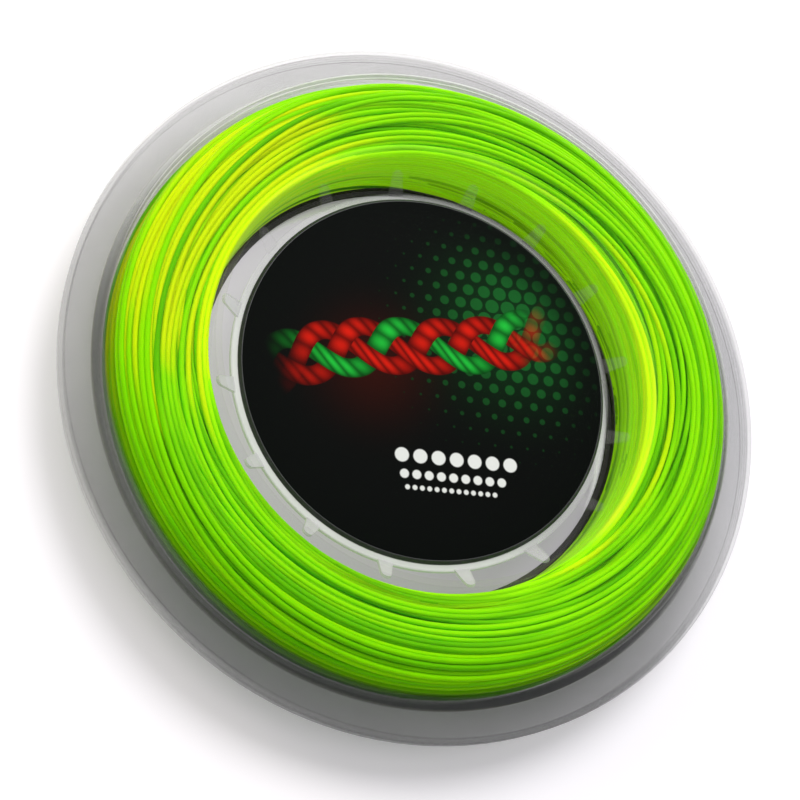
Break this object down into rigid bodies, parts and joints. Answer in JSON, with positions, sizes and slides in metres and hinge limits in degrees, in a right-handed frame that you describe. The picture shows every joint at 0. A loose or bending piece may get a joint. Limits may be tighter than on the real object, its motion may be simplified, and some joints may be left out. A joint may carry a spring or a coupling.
{
  "type": "string reel",
  "caption": "Clear two-shell reel of wound lime green racket string, with a round label plate held in its hub by a snap disc.",
  "frame": {"origin": "on the reel's axis, in the plane of the rear shell's face, on which the reel lies", "axes": "+Z along the reel's axis from the rear face to the front face; X and Y across the reel"},
  "size_m": [0.25, 0.25, 0.0364],
  "materials": {
    "clear_plastic": "clear grey moulded polystyrene, glossy",
    "pale_plastic": "pale translucent moulded plastic",
    "dark_plastic": "black satin plastic",
    "printed_film": "glossy printed film, near black with a dark green glow",
    "lime_string": "neon lime green polyester monofilament"
  },
  "bodies": {
    "root": {"front_shell": "clear_plastic", "rear_shell": "clear_plastic", "snap_disc": "pale_plastic", "label_plate": "dark_plastic", "label_film": "printed_film", "winding_core": "lime_string", "winding_turns": "lime_string"}
  },
  "joints": []
}
